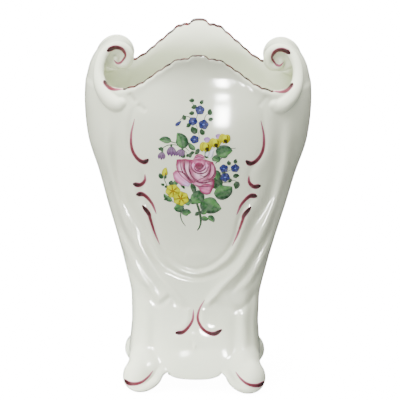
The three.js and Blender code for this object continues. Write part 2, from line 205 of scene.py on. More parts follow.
def relief_map(reach=2.6):
    """Height of the relief over x and z, on a grid. A line is felt as far as reach times its half-width."""
    xs = np.arange(-MAP_X, MAP_X + MAP_STEP, MAP_STEP)
    zs = np.arange(0, MAP_Z + MAP_STEP, MAP_STEP)
    total = np.zeros((len(xs), len(zs)))
    for height, wide, end, side, fade_in, fade_out, points in RELIEF:
        line = spline(np.array(points, float), 6)
        run = np.concatenate([[0], np.cumsum(np.hypot(*np.diff(line, axis=0).T))])
        run = run / run[-1]
        for sign in (1, -1) if side == 0 else (side,):
            part = (xs * sign >= 0) & (xs * sign < line[:, 0].max() + reach * wide)
            rows = (zs > line[:, 1].min() - reach * wide) & (zs < line[:, 1].max() + reach * wide)
            x, z = np.meshgrid(xs[part] * sign, zs[rows], indexing="ij")
            best = np.full(x.shape, 1e6)
            along = np.zeros(x.shape)
            for (ax, az), (bx, bz), s, e in zip(line[:-1], line[1:], run[:-1], run[1:]):
                dx, dz = bx - ax, bz - az
                t = np.clip(((x - ax) * dx + (z - az) * dz) / (dx * dx + dz * dz + 1e-9), 0, 1)
                q = (x - ax - t * dx) ** 2 + (z - az - t * dz) ** 2
                near = q < best
                best = np.where(near, q, best)
                along = np.where(near, s + t * (e - s), along)
            fade = np.ones(x.shape)
            if fade_in:
                fade = fade * smoothstep(along, 0, fade_in)
            if fade_out:
                fade = fade * (1 - smoothstep(along, 1 - fade_out, 1))
            width = wide + (end - wide) * along
            bump = height * fade * np.exp(-best / width**2)
            if side == 0 and sign < 0:
                bump = bump * (x > 0)
            total[np.ix_(part, rows)] += bump
    return total


def rim_z(x):
    """Height of the rim: its outline with small lobes between the crest and the scrolls."""
    z = np.interp(x, RIM_LINE[:, 0], RIM_LINE[:, 1])
    notch = 1 - np.abs(np.sin(np.pi * x / LOBE_PITCH))
    return z - LOBE_DEPTH * notch * smoothstep(x, 5.5, 8) * (1 - smoothstep(x, 54, 60))


RELIEF_MAP = relief_map()


def relief(x, z):
    """Height of the relief at signed x and z."""
    u = np.clip((x + MAP_X) / MAP_STEP, 0, RELIEF_MAP.shape[0] - 1.001)
    v = np.clip(z / MAP_STEP, 0, RELIEF_MAP.shape[1] - 1.001)
    i, j = u.astype(int), v.astype(int)
    u, v = u - i, v - j
    lower = RELIEF_MAP[i, j] * (1 - u) + RELIEF_MAP[i + 1, j] * u
    upper = RELIEF_MAP[i, j + 1] * (1 - u) + RELIEF_MAP[i + 1, j + 1] * u
    return lower * (1 - v) + upper * v


def section(x, y, z, inset):
    """Distance outside the body's section, drawn in by inset, and how far round to the front the point is.

    The section is a superellipse: an oval at the mouth, and near a rectangle with fuller corners at the foot.
    """
    w = np.interp(z, BODY_LINE[:, 2], BODY_LINE[:, 0]) - inset
    d = np.interp(z, BODY_LINE[:, 2], BODY_LINE[:, 1]) - inset
    n = 4 - 1.65 * smoothstep(z, 50, 190)
    a = x / w
    b = y / d
    r = np.maximum((a**n + b**n) ** (1 / n), 1e-3)
    u = a / r
    v = b / r
    r = r / (1 + 0.035 * (1 - smoothstep(z, 30, 95)) * (2 * (u * v) ** (n / 2)) ** 4)
    g = np.sqrt((u ** (n - 1) / w) ** 2 + (v ** (n - 1) / d) ** 2)
    return (r - 1) / np.maximum(g, 1e-4), v


def chain(x, y, z, line):
    """Distance to a tapering round bar."""
    best = np.full(x.shape, 1e3)
    for (ax, ay, az, ar), (bx, by, bz, br) in zip(line[:-1], line[1:]):
        dx, dy, dz = bx - ax, by - ay, bz - az
        t = np.clip(((x - ax) * dx + (y - ay) * dy + (z - az) * dz) / (dx * dx + dy * dy + dz * dz), 0, 1)
        q = np.sqrt((x - ax - t * dx) ** 2 + (y - ay - t * dy) ** 2 + (z - az - t * dz) ** 2)
        best = np.minimum(best, q - ar - t * (br - ar))
    return best


def ball(x, y, z, centre, radii):
    """Distance to an ellipsoid, near its surface."""
    (cx, cy, cz), (rx, ry, rz) = centre, radii
    a, b, c = (x - cx) / rx, (y - cy) / ry, (z - cz) / rz
    k0 = np.sqrt(a * a + b * b + c * c) + 1e-6
    k1 = np.sqrt((a / rx) ** 2 + (b / ry) ** 2 + (c / rz) ** 2) + 1e-6
    return k0 * (k0 - 1) / k1


def strap(x, y, z):
    """Distance to the scroll's strap, whose middle bows outward."""
    bent = x + STRAP_SAG * y * y
    best = np.full(x.shape, 1e3)
    depth = np.zeros(x.shape)
    for (ax, az, ah), (bx, bz, bh) in zip(STRAP_LINE[:-1], STRAP_LINE[1:]):
        dx, dz = bx - ax, bz - az
        t = np.clip(((bent - ax) * dx + (z - az) * dz) / (dx * dx + dz * dz), 0, 1)
        q = np.hypot(bent - ax - t * dx, z - az - t * dz)
        closer = q < best
        best = np.where(closer, q, best)
        depth = np.where(closer, ah + t * (bh - ah), depth)
    return smax(best - STRAP_THICKNESS / 2, y - depth, ROUND["strap"])


def foot_form(x, y, z):
    """Distance to a foot: its ball, the leg and the inner shoulder above it, and the band curled round it."""
    toe, leg, shoulder = (ball(x, y, z, *part) for part in FOOT_BALLS)
    blended = smin(smin(toe, leg, 5), shoulder, 5)
    return smin(blended, chain(x, y, z, FOOT_BAND_LINE), 1.4)


def scroll_form(x, y, z, cavity):
    """Distance to a scroll: strap, core of the roll, and the band along its edge, kept out of the mouth."""
    core_x, core_z, radius, half = CORE
    core = smax(np.hypot(x - core_x, z - core_z) - radius, y - half, 4)
    band = smax(chain(x, y, z, SCROLL_BAND_LINE), -smax(cavity, z - BAND_IN_WALL_BELOW, 3), 3)
    return smin(smin(strap(x, y, z), core, ROUND["scroll"]), band, 1.6)


def form(x, y, z):
    """Distance outside the whole vase, for arrays of points in millimetres."""
    moulding = relief(x, z)
    x, y = np.abs(x), np.abs(y)
    below = rim_z(x) - z
    lip = LIP * np.exp(-((np.maximum(below, 0) / LIP_FALL) ** 2)) * (1 - smoothstep(x, *LIP_ENDS))
    outer, front = section(x, y, z, 0)
    outer = outer - moulding * smoothstep(front, *RELIEF_EDGE) - lip
    inner, _ = section(x, y, z, WALL)
    cavity = smax(inner - lip, FLOOR_TOP - z, ROUND["floor"])
    recess, _ = section(x, y, np.maximum(z, BODY_LINE[0, 2]), RECESS_INSET)
    recess = smax(recess, z - RECESS_TOP, ROUND["recess"])
    d = smax(outer, -below * RIM_SLOPE, ROUND["rim"])
    d = smax(d, np.interp(x, SKIRT_LINE[:, 0], SKIRT_LINE[:, 1]) - z, ROUND["skirt"])
    d = smax(d, -recess, ROUND["recess"])
    near_foot = (z < FEET_BELOW) & (x > FEET_BEYOND)
    if near_foot.any():
        d[near_foot] = smin(d[near_foot], foot_form(x[near_foot], y[near_foot], z[near_foot]), ROUND["foot"])
    d = smax(d, -cavity, ROUND["mouth"])
    near_scroll = (z > SCROLLS_ABOVE) & (x > SCROLLS_BEYOND)
    if near_scroll.any():
        scroll = scroll_form(x[near_scroll], y[near_scroll], z[near_scroll], cavity[near_scroll])
        d[near_scroll] = smin(d[near_scroll], scroll, ROUND["scroll"])
    return smax(d, -z, ROUND["ground"])


def normals(p, eps=0.35):
    """Outward unit normals of the form at points, by differences over eps."""
    g = np.empty_like(p)
    for i in range(3):
        step = np.zeros(3)
        step[i] = eps
        g[:, i] = form(*(p + step).T) - form(*(p - step).T)
    return g / np.maximum(np.linalg.norm(g, axis=1, keepdims=True), 1e-9)


def mirrored(values, axis):
    """The values for both signs of a coordinate, from those for zero and up."""
    return np.concatenate([np.flip(values, axis).take(range(values.shape[axis] - 1), axis), values], axis)


def surface(low, high, h):
    """Points and quads of the form's surface in a box. A box that is even in y is computed by halves."""
    halves = [False, low[1] == -high[1], False]
    axes = [np.arange(0 if half else a, b + h, h) for a, b, half in zip(low, high, halves)]
    x, y, z = np.meshgrid(*axes, indexing="ij")
    d = form(x, y, z)
    start = []
    for i, half in enumerate(halves):
        if half:
            d = mirrored(d, i)
        start.append(-axes[i][-1] if half else axes[i][0])
    grid = openvdb.FloatGrid(1e3)
    grid.copyFromArray(np.ascontiguousarray(d, dtype=np.float32))
    points, quads = grid.convertToQuads(0.0)
    p = points.astype(float) * h + np.array(start)
    n = normals(p, 0.5)
    for _ in range(2):
        p = p - n * form(*p.T)[:, None]
    return p, quads


# -------- pieces of glazed ware


def mesh_object(name, points, faces):
    """An object of faces that all have as many corners, with its points in millimetres."""
    mesh = bpy.data.meshes.new(name)
    mesh.vertices.add(len(points))
    mesh.vertices.foreach_set("co", (np.asarray(points) * MM).ravel())
    faces = np.asarray(faces)
    mesh.loops.add(faces.size)
    mesh.loops.foreach_set("vertex_index", faces.ravel().astype(np.int32))
    mesh.polygons.add(len(faces))
    mesh.polygons.foreach_set("loop_start", np.arange(0, faces.size, faces.shape[1], dtype=np.int32))
    mesh.update(calc_edges=True)
    mesh.validate()
    obj = bpy.data.objects.new(name, mesh)
    bpy.context.scene.collection.objects.link(obj)
    return obj


def box_object(low, high):
    corners = [(x, y, z) for x in (low[0], high[0]) for y in (low[1], high[1]) for z in (low[2], high[2])]
    faces = [(0, 1, 3, 2), (4, 6, 7, 5), (0, 4, 5, 1), (2, 3, 7, 6), (0, 2, 6, 4), (1, 5, 7, 3)]
    return mesh_object("cutter", corners, faces)


def cut(obj, low, high, operation):
    """Keeps what is inside a box, or takes it away, with a flat cut through the wall."""
    cutter = box_object(low, high)
    step = obj.modifiers.new("cut", "BOOLEAN")
    step.operation = operation
    step.solver = "MANIFOLD"
    step.object = cutter
    deps = bpy.context.evaluated_depsgraph_get()
    made = bpy.data.meshes.new_from_object(obj.evaluated_get(deps))
    obj.modifiers.clear()
    old = obj.data
    obj.data = made
    bpy.data.meshes.remove(old)
    cut_mesh = cutter.data
    bpy.data.objects.remove(cutter)
    bpy.data.meshes.remove(cut_mesh)
    return obj


def smooth_as_form(obj):
    """Gives each corner of the skin the form's own normal, so that joints don't show. Cut faces stay flat."""
    mesh = obj.data
    p = np.empty(len(mesh.vertices) * 3)
    mesh.vertices.foreach_get("co", p)
    p = p.reshape(-1, 3) / MM
    n = normals(p)
    corner = np.empty(len(mesh.loops), np.int32)
    mesh.loops.foreach_get("vertex_index", corner)
    flat = np.empty(len(mesh.polygons) * 3)
    mesh.polygons.foreach_get("normal", flat)
    flat = flat.reshape(-1, 3)
    total = np.empty(len(mesh.polygons), np.int32)
    mesh.polygons.foreach_get("loop_total", total)
    face = np.repeat(np.arange(len(total)), total)
    use = n[corner]
    off = (use * flat[face]).sum(1) < 0.55
    use[off] = flat[face][off]
    mesh.polygons.foreach_set("use_smooth", np.ones(len(total), bool))
    mesh.normals_split_custom_set(use)
    mesh.update()
    return obj


def mirror_copy(obj, name, signs):
    """A copy of a finished piece, mirrored in x or y or both."""
    mesh = obj.data.copy()
    new = bpy.data.objects.new(name, mesh)
    bpy.context.scene.collection.objects.link(new)
    p = np.empty(len(mesh.vertices) * 3)
    mesh.vertices.foreach_get("co", p)
    p = p.reshape(-1, 3) * np.array([*signs, 1])
    mesh.vertices.foreach_set("co", p.ravel())
    if signs[0] * signs[1] < 0:
        mesh.flip_normals()
    mesh.update()
    return smooth_as_form(new)


# Grid steps, and the box in which each surface is looked for.
BODY_STEP = 1.35
FINE_STEP = 0.8
BODY_BOUNDS = (-96, -62, -4), (96, 62, 284)
SCROLL_BOUNDS = (46, -52, 222), (93, 52, 283)
FOOT_BOUNDS = (18, 8, -3), (62, 46, 26)
# Where the casting is parted from a scroll and from a foot, as in the CAD.
FAR = 400.0
SCROLL_BOX = (49.5, -FAR, 226.0), (FAR, FAR, FAR)
FOOT_BOX = (23.0, 13.0, -FAR), (FAR, FAR, 22.0)


def flip(box, sx, sy):
    """The box mirrored in x or y or both."""
    (x0, y0, z0), (x1, y1, z1) = box
    xs = sorted((sx * x0, sx * x1))
    ys = sorted((sy * y0, sy * y1))
    return (xs[0], ys[0], z0), (xs[1], ys[1], z1)


def body_piece():
    """The body, with scrolls and feet cut away."""
    body = mesh_object("body_casting", *surface(*BODY_BOUNDS, BODY_STEP))
    for sx in (1, -1):
        cut(body, *flip(SCROLL_BOX, sx, 1), "DIFFERENCE")
        for sy in (1, -1):
            cut(body, *flip(FOOT_BOX, sx, sy), "DIFFERENCE")
    return smooth_as_form(body)


def applied_piece(name, bounds, box):
    """A scroll or a foot: what the form has inside the box."""
    piece = mesh_object(name, *surface(*bounds, FINE_STEP))
    return smooth_as_form(cut(piece, *box, "INTERSECT"))


body = body_piece()
scroll = applied_piece("scroll_right_glazed", SCROLL_BOUNDS, SCROLL_BOX)
foot = applied_piece("foot_rear_right_glazed", FOOT_BOUNDS, FOOT_BOX)
ware = {
    "body": body,
    "scroll_right": scroll,
    "scroll_left": mirror_copy(scroll, "scroll_left_glazed", (-1, 1)),
    "foot_rear_right": foot,
    "foot_rear_left": mirror_copy(foot, "foot_rear_left_glazed", (-1, 1)),
    "foot_front_right": mirror_copy(foot, "foot_front_right_glazed", (1, -1)),
    "foot_front_left": mirror_copy(foot, "foot_front_left_glazed", (-1, -1)),
}

# -------- painting, as thin closed films on the glaze

FRONT, BACK = -1, 1
OUTSIDE = 72.0  # y from which points are moved in until they meet the glaze
LIFT, LAYER, SINK = 0.18, 0.03, 0.3  # height of the lowest film, what each level adds, and the films' depth
PINK, MULBERRY, DARK = (160, 100, 114), (100, 40, 50), (36, 10, 12)


def linear(rgb):
    """Linear colour from 0 to 255 sRGB."""
    c = np.asarray(rgb, float) / 255
    return np.where(c <= 0.04045, c / 12.92, ((c + 0.055) / 1.055) ** 2.4)


def mix(a, b, t):
    """Colour from a to b, for an array of shares."""
    t = np.clip(np.asarray(t, float), 0, 1)[..., None]
    return np.asarray(a, float) * (1 - t) + np.asarray(b, float) * t


def march(start, way, steps=60):
    """Follows straight ways from points outside until they meet the glaze."""
    p = np.array(start, float)
    for _ in range(steps):
        d = form(*p.T)
        p = p + way * np.clip(d * 0.8, -3, 5)[:, None]
    return p


class Film:
    """Paint of one kind: ribbons and petals that lie on the glaze, gathered into one piece."""

    def __init__(self, name, wash=0.12):
        self.name = name
        self.wash = wash
        self.grids = []
        self.waiting = []

    def ribbon(self, line, widths, colour, side=FRONT, level=0, per=5, across=7):
        """A stroke along x and z points.

        widths are half-widths along it, and colour gives rgb from u along and v across. It has per steps to
        each span of the line and across points over its width.
        """
        axis = spline(np.array(line, float), per)
        u = np.linspace(0, 1, len(axis))
        w = np.interp(u, np.linspace(0, 1, len(widths)), widths)
        uu, vv = np.meshgrid(u, np.linspace(-1, 1, across), indexing="ij")
        start = np.stack([axis[:, 0], np.full(len(axis), side * OUTSIDE), axis[:, 1]], -1)
        self.waiting.append((start, w[:, None] * vv, linear(colour(uu, vv)), LIFT + LAYER * level, side))

    def grid(self, points, colours, lift):
        """A film whose points on the glaze are already known."""
        self.grids.append((points, linear(colours), lift))

    def settle(self):
        """Lays the waiting ribbons on the glaze, all together."""
        if not self.waiting:
            return
        start = np.concatenate([item[0] for item in self.waiting])
        way = np.concatenate([np.tile([0, -item[4], 0.0], (len(item[0]), 1)) for item in self.waiting])
        middle = march(start, way)
        out = normals(middle, 1.5)
        tops, at = [], 0
        for begin, spread, _, _, _ in self.waiting:
            part = slice(at, at + len(begin))
            at += len(begin)
            side_way = np.cross(out[part], np.gradient(middle[part], axis=0))
            side_way /= np.maximum(np.linalg.norm(side_way, axis=1, keepdims=True), 1e-9)
            tops.append(middle[part][:, None] + side_way[:, None] * spread[..., None])
        flat = np.concatenate([top.reshape(-1, 3) for top in tops])
        for _ in range(3):
            flat = flat - normals(flat, 0.5) * np.clip(form(*flat.T), -2, 2)[:, None]
        at = 0
        for top, (_, _, colours, lift, _) in zip(tops, self.waiting):
            count = top.shape[0] * top.shape[1]
            self.grids.append((flat[at:at + count].reshape(top.shape), colours, lift))
            at += count

    def done(self):
        """Makes the piece: each ribbon becomes a closed thin shell, and all of them share one mesh."""
        self.settle()
        flat = np.concatenate([points.reshape(-1, 3) for points, _, _ in self.grids])
        way = normals(flat, 0.5)
        points, faces, colours, at, count = [], [], [], 0, 0
        for grid, shade, lift in self.grids:
            rows, cols = grid.shape[:2]
            size = rows * cols
            p, n = flat[at:at + size], way[at:at + size]
            at += size
            i = np.arange(size).reshape(rows, cols)
            a, b, c, d = (part.ravel() for part in (i[:-1, :-1], i[1:, :-1], i[1:, 1:], i[:-1, 1:]))
            upper = np.stack([a, b, c, d], 1)
            k = len(a) // 2
            turned = (np.cross(p[b[k]] - p[a[k]], p[d[k]] - p[a[k]]) * n[a[k]]).sum() < 0
            rim = np.concatenate([i[0, :], i[1:, -1], i[-1, -2::-1], i[-2:0:-1, 0]])
            after = np.roll(rim, -1)
            wall = np.stack([rim, after, after + size, rim + size], 1)
            shell = np.concatenate([upper, upper[:, ::-1] + size, wall])
            points += [p + n * lift, p - n * SINK]
            faces.append((shell[:, ::-1] if turned else shell) + count)
            colours.append(np.tile(shade.reshape(-1, 3), (2, 1)))
            count += 2 * size
        obj = mesh_object(self.name, np.concatenate(points), np.concatenate(faces))
        layer = obj.data.color_attributes.new("pigment", "FLOAT_COLOR", "POINT")
        rgb = np.concatenate(colours)
        rgba = np.concatenate([rgb, np.ones((len(rgb), 1))], 1)
        layer.data.foreach_set("color", rgba.astype(np.float32).ravel())
        obj.data.polygons.foreach_set("use_smooth", np.ones(len(obj.data.polygons), bool))
        obj.data.materials.append(pigment_material(self.name + "_pigment", self.wash))
        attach(obj, "root")
        return obj


def new_material(name):
    """An empty material with a Principled shader: itself, its nodes, its links and the shader."""
    m = bpy.data.materials.new(name)
    m.use_nodes = True
    nodes = m.node_tree.nodes
    nodes.clear()
    out = nodes.new("ShaderNodeOutputMaterial")
    bsdf = nodes.new("ShaderNodeBsdfPrincipled")
    m.node_tree.links.new(bsdf.outputs[0], out.inputs[0])
    return m, nodes, m.node_tree.links, bsdf


def pigment_material(name, wash_strength):
    """Fired-on colour under gloss: the mesh's own pigment, thinned in places by up to wash_strength."""
    m, nodes, links, bsdf = new_material(name)
    pigment = nodes.new("ShaderNodeAttribute")
    pigment.attribute_name = "pigment"
    where = nodes.new("ShaderNodeTexCoord")
    wash = nodes.new("ShaderNodeTexNoise")
    wash.inputs["Scale"].default_value = 420
    wash.inputs["Detail"].default_value = 3
    links.new(where.outputs["Object"], wash.inputs["Vector"])
    strength = nodes.new("ShaderNodeMapRange")
    strength.inputs["From Min"].default_value = 0.35
    strength.inputs["From Max"].default_value = 0.75
    strength.inputs["To Min"].default_value = 0.0
    strength.inputs["To Max"].default_value = wash_strength
    links.new(wash.outputs["Fac"], strength.inputs["Value"])
    thin = nodes.new("ShaderNodeMix")
    thin.data_type = "RGBA"
    thin.inputs["B"].default_value = (0.7, 0.68, 0.64, 1)
    links.new(strength.outputs["Result"], thin.inputs["Factor"])
    links.new(pigment.outputs["Color"], thin.inputs["A"])
    links.new(thin.outputs["Result"], bsdf.inputs["Base Color"])
    bsdf.inputs["Roughness"].default_value = 0.2
    bsdf.inputs["IOR"].default_value = 1.45
    return m


STROKE_PROFILE = np.array([0.1, 0.36, 0.5, 0.6, 0.68, 0.76, 0.86, 1.0, 1.12, 1.05, 0.35])
EYE_PROFILE = np.array([0.1, 0.8, 1, 0.8, 0.1])  # small round spot


def stroke_colour(u, v):
    """Mulberry with a pale pink edge, darkest where the brush was set down."""
    core = mix(MULBERRY, DARK, smoothstep(u, 0.45, 1.0))
    thin = mix(PINK, core, smoothstep(u, 0.0, 0.5))
    return mix(thin, (172, 108, 124), smoothstep(np.abs(v), 0.55, 1.0))


def paint_stroke(film, line, side=FRONT, width=1.35, level=0):
    """One C-stroke from its thin end to the round blob where the brush was set down."""
    film.ribbon(line, width * STROKE_PROFILE, stroke_colour, side, level, 9, 9)


def tone(edge, middle, end=None, sharp=0.35):
    """Colour of a petal: from its edge to its middle line, and towards its end."""
    def colour(u, v):
        c = mix(middle, edge, smoothstep(np.abs(v), sharp, 1.0))
        return c if end is None else mix(c, end, smoothstep(u, 0.35, 1.0))
    return colour


def petal(film, a, b, wide, colour, bend=0.0, level=0, tip=0.75, side=FRONT):
    """A petal or leaf from a to b, bent sideways by bend of its length."""
    a, b = np.array(a, float), np.array(b, float)
    along = b - a
    out = np.array([-along[1], along[0]])
    line = [a, a + along * 0.3 + out * bend * 0.8, a + along * 0.65 + out * bend, b]
    s = np.linspace(0, 1, 11)
    profile = np.sin(np.pi * s**tip) ** 0.75 + 0.04
    film.ribbon(line, wide * profile, colour, side, level)


def patch(film, left, right, colour, level=0, side=FRONT, across=11):
    """A petal between two borders, both drawn from its tip to its foot."""
    left, right = (spline(np.array(line, float), 6) for line in (left, right))
    v = np.linspace(-1, 1, across)
    share = ((v + 1) / 2)[None, :, None]
    flat = left[:, None] * (1 - share) + right[:, None] * share
    uu, vv = np.meshgrid(np.linspace(0, 1, len(left)), v, indexing="ij")
    start = np.stack([flat[..., 0], np.full(uu.shape, side * OUTSIDE), flat[..., 1]], -1)
    top = march(start.reshape(-1, 3), np.array([0, -side, 0.0]))
    film.grid(top.reshape(start.shape), colour(uu, vv), LIFT + LAYER * level)


def at(x, z):
    return np.array([x, z], float)


def round_about(angle):
    """Unit way at an angle, in radians from +x."""
    return at(math.cos(angle), math.sin(angle))


def blossom(film, centre, radius, edge, middle, heart, turn=0.0, count=5, level=2):
    """A flower of equal petals round a small eye."""
    for k in range(count):
        way = round_about(turn + 2 * math.pi * k / count) * radius
        petal(film, centre + way * 0.05, centre + way, radius * 0.5, tone(edge, middle), 0, level, 1.5)
    r = radius * 0.24
    eye = [centre - [r, 0], centre, centre + [r, 0]]
    film.ribbon(eye, r * EYE_PROFILE, lambda u, v: mix(heart, middle, np.abs(v)), FRONT, level + 2)


# ---- mulberry strokes of the front and the back, thin end first

C_STROKES = [
    [(48.3, 226), (50.8, 213), (50.2, 201.5), (46.2, 194), (41.2, 191.2), (37.2, 194)],
    [(40, 181), (40.2, 175.5), (43.6, 171.6), (49.3, 171.8)],
    [(31, 148), (34.6, 156.8), (40.7, 163.3), (46.8, 163)],
    [(28.2, 121.5), (32.2, 131.6), (35.6, 143), (37, 147.8), (42, 154.6)],
]
TAILS = [
    (-1, [(1.2, 67), (2.3, 57), (8.6, 48.6), (15.4, 47.2)]),
    (1, [(7.3, 75.3), (3, 66.1), (2.5, 57.4), (7.6, 49.6), (14.8, 47), (21.3, 50.6)]),
]
CURL = [
    (65.5, 262.8), (62.8, 260.2), (59.6, 260.8), (57.2, 264), (57, 268), (59.2, 271.8), (63.6, 273.4),
    (68, 272.4), (70.6, 271),
]
LOWER_CURL = [(57.5, 247.6), (62.8, 246.6), (67.2, 246.8), (70.4, 248.6), (72.2, 251.2)]
TOE = [(32.4, 18), (36, 13.6), (41.5, 9.8), (47.5, 8.2), (52.4, 8.4), (55, 10)]

STROKE_WASH = 0.04
strokes = {FRONT: Film("strokes_front", STROKE_WASH), BACK: Film("strokes_back", STROKE_WASH)}
curls = Film("strokes_scrolls", STROKE_WASH)
toes = Film("strokes_feet", STROKE_WASH)
for side in (FRONT, BACK):
    for sx in (1, -1):
        for k, line in enumerate(C_STROKES):
            paint_stroke(strokes[side], [(sx * x, z) for x, z in line], side, 1.95 if k != 3 else 1.6)
        paint_stroke(curls, [(sx * x, z) for x, z in CURL], side, 2.1)
        paint_stroke(curls, [(sx * x, z) for x, z in LOWER_CURL], side, 2.2)
        paint_stroke(toes, [(sx * x, z) for x, z in TOE], side, 1.95)
    for sx, line in TAILS:
        paint_stroke(strokes[side], [(sx * x, z) for x, z in line], side, 1.8)

# ---- thin line along the rim


def rim_line(film, side, inner, outer):
    """A line laid on the round of the rim, from the inner to the outer angle off the vertical."""
    x = np.linspace(-57.5, 57.5, 231)
    edge = rim_z(np.abs(x))
    face = march(np.stack([x, np.full(x.shape, side * 90.0), edge - 1.3], 1), np.array([0, -side, 0.0]))
    waver = 0.09 * np.sin(x * 0.9) * np.sin(x * 0.37)
    share = np.linspace(0, 1, 6)
    angle = inner + (outer - inner) * share[None, :] + waver[:, None] + 0 * x[:, None]
    away = np.stack([np.zeros_like(angle), side * np.sin(angle), np.cos(angle)], -1)
    heart = np.stack([x, face[:, 1] - side * WALL / 2, edge - WALL / 2], 1)
    top = march((heart[:, None] + 9 * away).reshape(-1, 3), -away.reshape(-1, 3), 90).reshape(away.shape)
    dark = 0.5 + 0.5 * np.sin(x * 0.55 + 1.0) * np.sin(x * 0.21)
    shade = mix((84, 34, 32), (34, 14, 14), dark)[:, None] * np.ones((1, len(share), 1))
    film.grid(top, shade, 0.16)


rim_paint = Film("rim_line")
rim_line(rim_paint, FRONT, -0.3, 0.98)
rim_line(rim_paint, BACK, -0.98, 0.5)

# ---- bouquet

leaves = Film("bouquet_leaves")
stems = Film("bouquet_stems")
blues = Film("bouquet_blue_flowers")
bells = Film("bouquet_bellflowers")
yellows = Film("bouquet_yellow_flowers", 0.01)
rose = Film("bouquet_rose")

GREEN, DEEP_GREEN, MOSS, BARK = (76, 126, 68), (22, 56, 32), (42, 76, 38), (26, 32, 22)
STEM_PROFILE = np.array([1, 1.1, 0.8, 0.5])


def leaf(a, b, wide, bend=0.0, level=1, middle=GREEN):
    """A leaf that is dark on one half, along its border and along its vein."""
    def colour(u, v):
        half = smoothstep(v if bend >= 0 else -v, -0.2, 1.0)
        border = smoothstep(np.abs(v), 0.8, 1.0)
        vein = 1 - smoothstep(np.abs(v), 0.0, 0.14)
        return mix(mix(middle, DEEP_GREEN, half), DEEP_GREEN, border * 0.8 + vein * 0.6)
    petal(leaves, a, b, wide * 1.28, colour, bend, level, 0.85)


def stem_colour(u, v):
    return mix(MOSS, BARK, 0.7 * smoothstep(np.abs(v), 0.2, 1))


# stems, each from its thick end
for line, wide in (
    ([(-0.4, 160), (2.4, 150.5), (3.4, 143), (2.6, 138), (0.8, 134.8)], 0.85),
    ([(-10, 156), (-12.2, 149), (-11.4, 143.5), (-8.4, 138.4)], 0.5),
    ([(2.4, 149), (5, 153.6), (8.5, 158)], 0.45),
    ([(-6.8, 157.5), (-4, 160.5), (-1.6, 165)], 0.4),
    ([(-4.6, 240.5), (-2.4, 238.5), (1.2, 235.5), (-1, 228), (3.5, 222)], 0.22),
    ([(-14, 226.5), (-9.8, 230.3), (-4, 228), (-0.6, 222), (1.8, 212)], 0.22),
    ([(4.4, 226), (6.6, 231.5), (12, 232.2)], 0.22),
    ([(-28, 210.5), (-20, 209.4), (-12, 207), (-6, 202)], 0.3),
    ([(-27, 203.8), (-22, 206.6), (-14.6, 206.4), (-8, 200.5)], 0.28),
    ([(-24.2, 185), (-25, 178), (-22, 171.5), (-17, 168)], 0.28),
    ([(14, 192), (19, 197), (24, 203.6), (29.5, 204.6)], 0.35),
    ([(14.6, 184), (21, 184.6), (28, 187.5)], 0.25),
    ([(12.4, 182.5), (20, 176), (29, 177.6), (31, 171.5)], 0.25),
    ([(-22, 166.5), (-20, 160.5), (-14.5, 157)], 0.3),
):
    stems.ribbon(line, wide * STEM_PROFILE, stem_colour, FRONT, 0, 5, 5)

# broad leaves under the rose and beside it
for a, b, wide, bend in (
    ((-4, 165.5), (4.5, 159), 5.2, 0.05), ((3.8, 161), (19.2, 153.6), 5.4, -0.08),
    ((13.2, 166.6), (27.2, 172.2), 4.9, -0.1), ((15, 198.6), (27, 202.6), 4.2, 0.12),
    ((-10.5, 156.2), (-17.6, 153.4), 3.2, 0.1), ((-11, 148.6), (-4, 150), 2.3, 0.15),
    ((-9.6, 158), (-3.4, 159.5), 2.5, 0.1), ((-11, 204), (-15.6, 216.8), 3.6, -0.1),
    ((-20, 209.6), (-29.4, 210.6), 2.1, -0.08), ((-1.5, 203.4), (-6.6, 209.4), 1.5, 0.1),
    ((4.6, 148.6), (8, 153), 1.8, 0.1), ((3.6, 146.4), (9.6, 145), 1.6, -0.1),
    ((9, 147.4), (13.6, 142), 1.7, 0.1), ((-18.6, 159.6), (-25.4, 165.6), 1.6, 0.1),
    ((-14.6, 178.4), (-17.8, 172.4), 1.4, 0), ((12, 197.4), (16.8, 193.2), 2.2, 0.15),
    ((13, 186), (15.6, 178), 2.2, 0.15), ((7, 203), (8.8, 196.6), 1.6, 0),
):
    leaf(a, b, wide, bend)
# small leaves among the sprays
for x, z, angle, size in (
    (-4.9, 243, 190, 3.6), (-3.2, 238, 205, 3.8), (-4.9, 233.2, 195, 3.6), (-10, 229.4, 110, 3.6),
    (3.3, 241.2, 60, 3.2), (9.8, 233.8, 95, 4.2), (10.2, 227.6, 20, 3.4), (-2.3, 219.8, 130, 5.6),
    (4, 218.2, 120, 4.4), (-7.4, 223.4, 230, 3.6), (-28, 203.7, 180, 3.6), (-7, 198.4, 60, 2.6),
    (-3.6, 200.4, 30, 3.2), (24.8, 192.6, 110, 3.6), (29.8, 193.6, 85, 3.4), (30.2, 180.8, 10, 4.2),
    (29.8, 173.4, 265, 5.6), (25, 177.6, 250, 3.2), (-27.2, 180.8, 120, 4.4), (-19.5, 175, 70, 3.6),
    (-26.2, 173.6, 160, 2.6), (-23.2, 171.4, 20, 2.6), (0, 149.4, 230, 3.6), (-24, 161.6, 220, 3),
    (20.6, 184, 200, 2.6),
):
    way = round_about(math.radians(angle))
    leaf(at(x, z) - way * size * 0.58, at(x, z) + way * size * 0.58, size * 0.34, 0.12, 1, MOSS)

